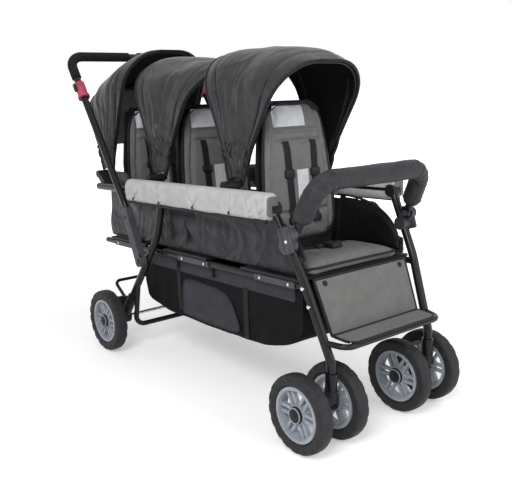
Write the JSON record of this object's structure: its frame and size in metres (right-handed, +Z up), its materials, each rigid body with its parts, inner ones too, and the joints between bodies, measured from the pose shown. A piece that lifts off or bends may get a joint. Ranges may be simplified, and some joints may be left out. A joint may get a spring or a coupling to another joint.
{
  "type": "triple stroller",
  "caption": "Tandem stroller with a row of reclining seats under folding canopies, a storage basket, twin swivel front wheels, a padded bumper bar and a folding push handle.",
  "frame": {"origin": "on the floor, at the bottom centre of the bounding box", "axes": "+X forward, the way the children face; +Y to the children's left; +Z up"},
  "size_m": [1.4682, 0.66, 1.0611],
  "materials": {
    "frame_enamel": "gloss black enamel on steel tube",
    "steel": "bright plated steel",
    "black_plastic": "fine-grained black moulding",
    "grey_plastic": "fine-grained dark grey moulding",
    "bracket_grey": "satin silver-grey moulding",
    "collar_red": "satin pink-red moulding",
    "foam": "soft black grip foam",
    "seat_cloth": "mid-grey quilted polyester",
    "webbing": "black woven webbing",
    "canopy_cloth": "charcoal polyester with black binding",
    "cover_cloth": "light grey padded polyester",
    "side_cloth": "dark charcoal polyester",
    "basket_mesh": "black net and cloth",
    "bumper_cloth": "black padded cloth",
    "rim_grey": "satin grey-blue moulding",
    "tread_rubber": "dark grey foam tyre"
  },
  "bodies": {
    "chassis": {"front_legs": "frame_enamel", "rear_legs": "frame_enamel", "side_rails": "frame_enamel", "seat_rails": "frame_enamel", "rail_caps": "grey_plastic", "footrest_loop": "frame_enamel", "foot_mat": "seat_cloth", "calf_panel": "seat_cloth", "rear_stretcher": "frame_enamel", "rear_axle": "steel", "axle_brackets": "black_plastic", "canopy_clips": "black_plastic", "canopy_rear_bows": "frame_enamel", "side_covers": "cover_cloth", "side_panels": "side_cloth", "basket": "basket_mesh", "seat_boards": "black_plastic", "seat_pad_front": "seat_cloth", "seat_pad_middle": "seat_cloth", "seat_pad_rear": "seat_cloth", "seat_strips": "grey_plastic", "frame_rivets": "steel", "bumper_brackets": "bracket_grey", "canopy_front": "canopy_cloth", "canopy_middle": "canopy_cloth", "canopy_rear": "canopy_cloth"},
    "front_back": {"back_board_front": "black_plastic", "back_pad_front": "seat_cloth", "harness_front": "webbing"},
    "middle_back": {"back_board_middle": "black_plastic", "back_pad_middle": "seat_cloth", "harness_middle": "webbing"},
    "rear_back": {"back_board_rear": "black_plastic", "back_pad_rear": "seat_cloth", "harness_rear": "webbing"},
    "front_bow": {"canopy_bow_front": "frame_enamel"},
    "middle_bow": {"canopy_bow_middle": "frame_enamel"},
    "rear_bow": {"canopy_bow_rear": "frame_enamel"},
    "handle": {"handle_tube": "frame_enamel", "handle_grips": "foam", "fold_links": "grey_plastic"},
    "right_collar": {"release_collar_right": "collar_red"},
    "left_collar": {"release_collar_left": "collar_red"},
    "bumper": {"bumper_tube": "frame_enamel", "bumper_sleeve": "bumper_cloth"},
    "brake": {"brake_bar": "frame_enamel"},
    "right_caster": {"caster_fork_right": "black_plastic"},
    "left_caster": {"caster_fork_left": "black_plastic"},
    "front_right_outer_wheel": {"tyre_front_right_outer": "tread_rubber", "rim_front_right_outer": "rim_grey"},
    "front_right_inner_wheel": {"tyre_front_right_inner": "tread_rubber", "rim_front_right_inner": "rim_grey"},
    "front_left_inner_wheel": {"tyre_front_left_inner": "tread_rubber", "rim_front_left_inner": "rim_grey"},
    "front_left_outer_wheel": {"tyre_front_left_outer": "tread_rubber", "rim_front_left_outer": "rim_grey"},
    "rear_right_wheel": {"tyre_rear_right": "tread_rubber", "rim_rear_right": "rim_grey"},
    "rear_left_wheel": {"tyre_rear_left": "tread_rubber", "rim_rear_left": "rim_grey"}
  },
  "joints": [
    {"name": "front_recline", "type": "hinge", "parent": "chassis", "child": "front_back", "pos_m": [0.3311, 0, 0.45388], "axis": [0, 1, 0], "range_deg": [-15, 0]},
    {"name": "middle_recline", "type": "hinge", "parent": "chassis", "child": "middle_back", "pos_m": [-0.0869, 0, 0.42715], "axis": [0, 1, 0], "range_deg": [-15, 0]},
    {"name": "rear_recline", "type": "hinge", "parent": "chassis", "child": "rear_back", "pos_m": [-0.4509, 0, 0.40387], "axis": [0, 1, 0], "range_deg": [-25, 0]},
    {"name": "front_canopy", "type": "hinge", "parent": "chassis", "child": "front_bow", "pos_m": [0.2391, 0, 0.66684], "axis": [0, 1, 0], "range_deg": [-46, 0], "deforming": ["canopy_front"]},
    {"name": "middle_canopy", "type": "hinge", "parent": "chassis", "child": "middle_bow", "pos_m": [-0.1789, 0, 0.64011], "axis": [0, 1, 0], "range_deg": [-46, 0], "deforming": ["canopy_middle"]},
    {"name": "rear_canopy", "type": "hinge", "parent": "chassis", "child": "rear_bow", "pos_m": [-0.5429, 0, 0.61682], "axis": [0, 1, 0], "range_deg": [-25, 0], "deforming": ["canopy_rear"]},
    {"name": "handle_fold", "type": "hinge", "parent": "chassis", "child": "handle", "pos_m": [-0.18002, 0, 0.362], "axis": [0, 1, 0], "range_deg": [-58, 0]},
    {"name": "right_release", "type": "slide", "parent": "handle", "child": "right_collar", "axis": [-0.6032, 0, 0.7976], "range_m": [0, 0.018], "stiffness_N_per_m": 400},
    {"name": "left_release", "type": "slide", "parent": "handle", "child": "left_collar", "axis": [-0.6032, 0, 0.7976], "range_m": [0, 0.018], "stiffness_N_per_m": 400},
    {"name": "bumper_swing", "type": "hinge", "parent": "chassis", "child": "bumper", "pos_m": [0.5491, 0, 0.58], "axis": [0, 1, 0], "range_deg": [0, 60]},
    {"name": "brake_press", "type": "hinge", "parent": "chassis", "child": "brake", "pos_m": [-0.3889, 0, 0.165], "axis": [0, 1, 0], "range_deg": [-20, 0]},
    {"name": "right_swivel", "type": "hinge", "parent": "chassis", "child": "right_caster", "pos_m": [0.6691, -0.2, 0.176], "axis": [0, 0, 1], "continuous": true},
    {"name": "left_swivel", "type": "hinge", "parent": "chassis", "child": "left_caster", "pos_m": [0.6691, 0.2, 0.176], "axis": [0, 0, 1], "continuous": true},
    {"name": "front_right_outer_spin", "type": "hinge", "parent": "right_caster", "child": "front_right_outer_wheel", "pos_m": [0.6231, -0.2665, 0.111], "axis": [0, 1, 0], "continuous": true},
    {"name": "front_right_inner_spin", "type": "hinge", "parent": "right_caster", "child": "front_right_inner_wheel", "pos_m": [0.6231, -0.1335, 0.111], "axis": [0, 1, 0], "continuous": true},
    {"name": "front_left_inner_spin", "type": "hinge", "parent": "left_caster", "child": "front_left_inner_wheel", "pos_m": [0.6231, 0.1335, 0.111], "axis": [0, 1, 0], "continuous": true},
    {"name": "front_left_outer_spin", "type": "hinge", "parent": "left_caster", "child": "front_left_outer_wheel", "pos_m": [0.6231, 0.2665, 0.111], "axis": [0, 1, 0], "continuous": true},
    {"name": "rear_right_spin", "type": "hinge", "parent": "chassis", "child": "rear_right_wheel", "pos_m": [-0.3609, -0.3075, 0.111], "axis": [0, 1, 0], "continuous": true},
    {"name": "rear_left_spin", "type": "hinge", "parent": "chassis", "child": "rear_left_wheel", "pos_m": [-0.3609, 0.3075, 0.111], "axis": [0, 1, 0], "continuous": true}
  ]
}
